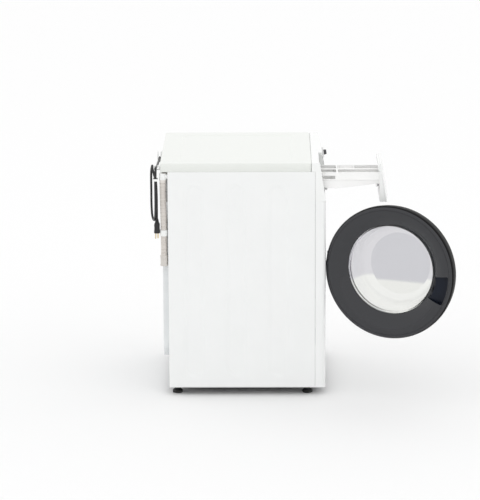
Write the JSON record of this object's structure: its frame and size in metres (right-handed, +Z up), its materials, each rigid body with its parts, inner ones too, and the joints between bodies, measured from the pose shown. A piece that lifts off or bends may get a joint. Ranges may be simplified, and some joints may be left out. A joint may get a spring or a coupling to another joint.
{
  "type": "front load washing machine",
  "caption": "Front loading washing machine with a round bowl door, detergent drawer, dial and levelling feet.",
  "frame": {"origin": "on the floor, under the centre of the cabinet", "axes": "+Z up, front toward -Y, +X to the right seen from the front"},
  "size_m": [0.7564, 1.0838, 0.85],
  "materials": {
    "painted_steel": "gloss enamel",
    "galvanised_steel": "zinc coated",
    "base_plastic": "moulded",
    "white_plastic": "gloss",
    "chipboard": "pressed board",
    "smoked_window": "smoked clear",
    "circuit_board": "varnished",
    "dial_plastic": "satin",
    "button_plastic": "satin",
    "inner_plastic": "moulded",
    "blue_plastic": "moulded",
    "red_plastic": "moulded",
    "tub_plastic": "moulded, glass filled",
    "gasket_rubber": "moulded, soft",
    "bright_steel": "bright zinc",
    "cast_iron": "painted",
    "motor_steel": "pressed",
    "drum_steel": "stainless, perforated",
    "lifter_plastic": "moulded",
    "spider_alloy": "cast",
    "dark_plastic": "moulded",
    "ring_plastic": "tinted gloss",
    "frame_plastic": "moulded",
    "door_glass": "pressed, clear",
    "foot_rubber": "moulded",
    "hose_plastic": "corrugated",
    "cord_rubber": "extruded",
    "brass_pins": "bright"
  },
  "bodies": {
    "cabinet": {"side_panel_left": "painted_steel", "side_panel_right": "painted_steel", "back_panel": "galvanised_steel", "rear_cover": "galvanised_steel", "base_pan": "base_plastic", "front_panel": "painted_steel", "top_plate": "white_plastic", "top_board": "chipboard", "top_rails": "galvanised_steel", "control_panel": "white_plastic", "display_window": "smoked_window", "control_board": "circuit_board", "dispenser_housing": "inner_plastic", "inlet_valve_hot": "red_plastic", "inlet_valve_cold": "blue_plastic", "spring_hangers": "galvanised_steel", "damper_cylinders": "dark_plastic", "drain_pump": "dark_plastic", "filter_frame": "inner_plastic", "hinge_bracket": "bright_steel", "door_lock": "dark_plastic", "drain_hose": "hose_plastic", "hose_fittings": "inner_plastic", "power_cord": "cord_rubber", "cord_holders": "dark_plastic", "plug_body": "cord_rubber", "plug_pins": "brass_pins"},
    "door": {"door_ring": "ring_plastic", "door_inner_frame": "frame_plastic", "door_glass": "door_glass", "hinge_arm": "bright_steel"},
    "latch": {"latch_hook": "bright_steel"},
    "drawer": {"drawer_front": "white_plastic", "drawer_tray": "inner_plastic"},
    "siphon": {"siphon_cap": "inner_plastic"},
    "tub": {"tub_rear": "tub_plastic", "tub_front": "tub_plastic", "gasket_clamp": "bright_steel", "counterweights": "cast_iron", "heater": "bright_steel", "bearings": "bright_steel", "motor_stator": "motor_steel", "damper_rods": "bright_steel", "door_gasket": "gasket_rubber", "suspension_springs": "bright_steel"},
    "drum": {"drum_basket": "drum_steel", "drum_lifters": "lifter_plastic", "drum_spider": "spider_alloy", "motor_rotor": "motor_steel"},
    "dial": {"program_dial": "dial_plastic"},
    "power_key": {"power_button": "button_plastic"},
    "start_key": {"start_button": "button_plastic"},
    "temp_key": {"temp_button": "button_plastic"},
    "spin_key": {"spin_button": "button_plastic"},
    "flap": {"filter_door": "white_plastic"},
    "filter": {"pump_filter": "blue_plastic"},
    "foot_fl": {"foot_front_left": "foot_rubber"},
    "foot_fr": {"foot_front_right": "foot_rubber"},
    "foot_rl": {"foot_rear_left": "foot_rubber"},
    "foot_rr": {"foot_rear_right": "foot_rubber"}
  },
  "joints": [
    {"name": "door_hinge", "type": "hinge", "parent": "cabinet", "child": "door", "pos_m": [-0.241, -0.2925, 0.468], "axis": [0, 0, -1], "range_deg": [-112, 0]},
    {"name": "latch_pivot", "type": "hinge", "parent": "door", "child": "latch", "pos_m": [-0.41352, -0.72216, 0.468], "axis": [0, 0, 1], "range_deg": [0, 12], "stiffness_Nm_per_rad": 1.5},
    {"name": "drawer_slide", "type": "slide", "parent": "cabinet", "child": "drawer", "axis": [0, -1, 0], "range_m": [-0.215, 0]},
    {"name": "siphon_lift", "type": "slide", "parent": "drawer", "child": "siphon", "axis": [0, 0, 1], "range_m": [0, 0.03]},
    {"name": "tub_suspension", "type": "slide", "parent": "cabinet", "child": "tub", "axis": [0, 0, 1], "range_m": [-0.006, 0.006], "stiffness_N_per_m": 12000, "springref_m": 0.03005, "deforming": ["suspension_springs", "door_gasket"]},
    {"name": "drum_spin", "type": "hinge", "parent": "tub", "child": "drum", "pos_m": [0, 0, 0.476], "axis": [0, 1, 0], "continuous": true},
    {"name": "dial_turn", "type": "hinge", "parent": "cabinet", "child": "dial", "pos_m": [0.15, -0.27403, 0.802], "axis": [0, -0.9879, 0.155], "continuous": true},
    {"name": "power_press", "type": "slide", "parent": "cabinet", "child": "power_key", "axis": [0, 0.9879, -0.155], "range_m": [0, 0.0015], "stiffness_N_per_m": 400, "springref_m": -0.0008},
    {"name": "start_press", "type": "slide", "parent": "cabinet", "child": "start_key", "axis": [0, 0.9879, -0.155], "range_m": [0, 0.0015], "stiffness_N_per_m": 400, "springref_m": -0.0008},
    {"name": "temp_press", "type": "slide", "parent": "cabinet", "child": "temp_key", "axis": [0, 0.9879, -0.155], "range_m": [0, 0.0015], "stiffness_N_per_m": 400, "springref_m": -0.0008},
    {"name": "spin_press", "type": "slide", "parent": "cabinet", "child": "spin_key", "axis": [0, 0.9879, -0.155], "range_m": [0, 0.0015], "stiffness_N_per_m": 400, "springref_m": -0.0008},
    {"name": "flap_hinge", "type": "hinge", "parent": "cabinet", "child": "flap", "pos_m": [0.24, -0.2765, 0.092], "axis": [0, 0, 1], "range_deg": [0, 100]},
    {"name": "filter_turn", "type": "hinge", "parent": "cabinet", "child": "filter", "pos_m": [0.19, -0.25, 0.092], "axis": [0, 1, 0], "continuous": true},
    {"name": "foot_fl_screw", "type": "slide", "parent": "cabinet", "child": "foot_fl", "axis": [0, 0, -1], "range_m": [0, 0.015]},
    {"name": "foot_fr_screw", "type": "slide", "parent": "cabinet", "child": "foot_fr", "axis": [0, 0, -1], "range_m": [0, 0.015]},
    {"name": "foot_rl_screw", "type": "slide", "parent": "cabinet", "child": "foot_rl", "axis": [0, 0, -1], "range_m": [0, 0.015]},
    {"name": "foot_rr_screw", "type": "slide", "parent": "cabinet", "child": "foot_rr", "axis": [0, 0, -1], "range_m": [0, 0.015]}
  ]
}
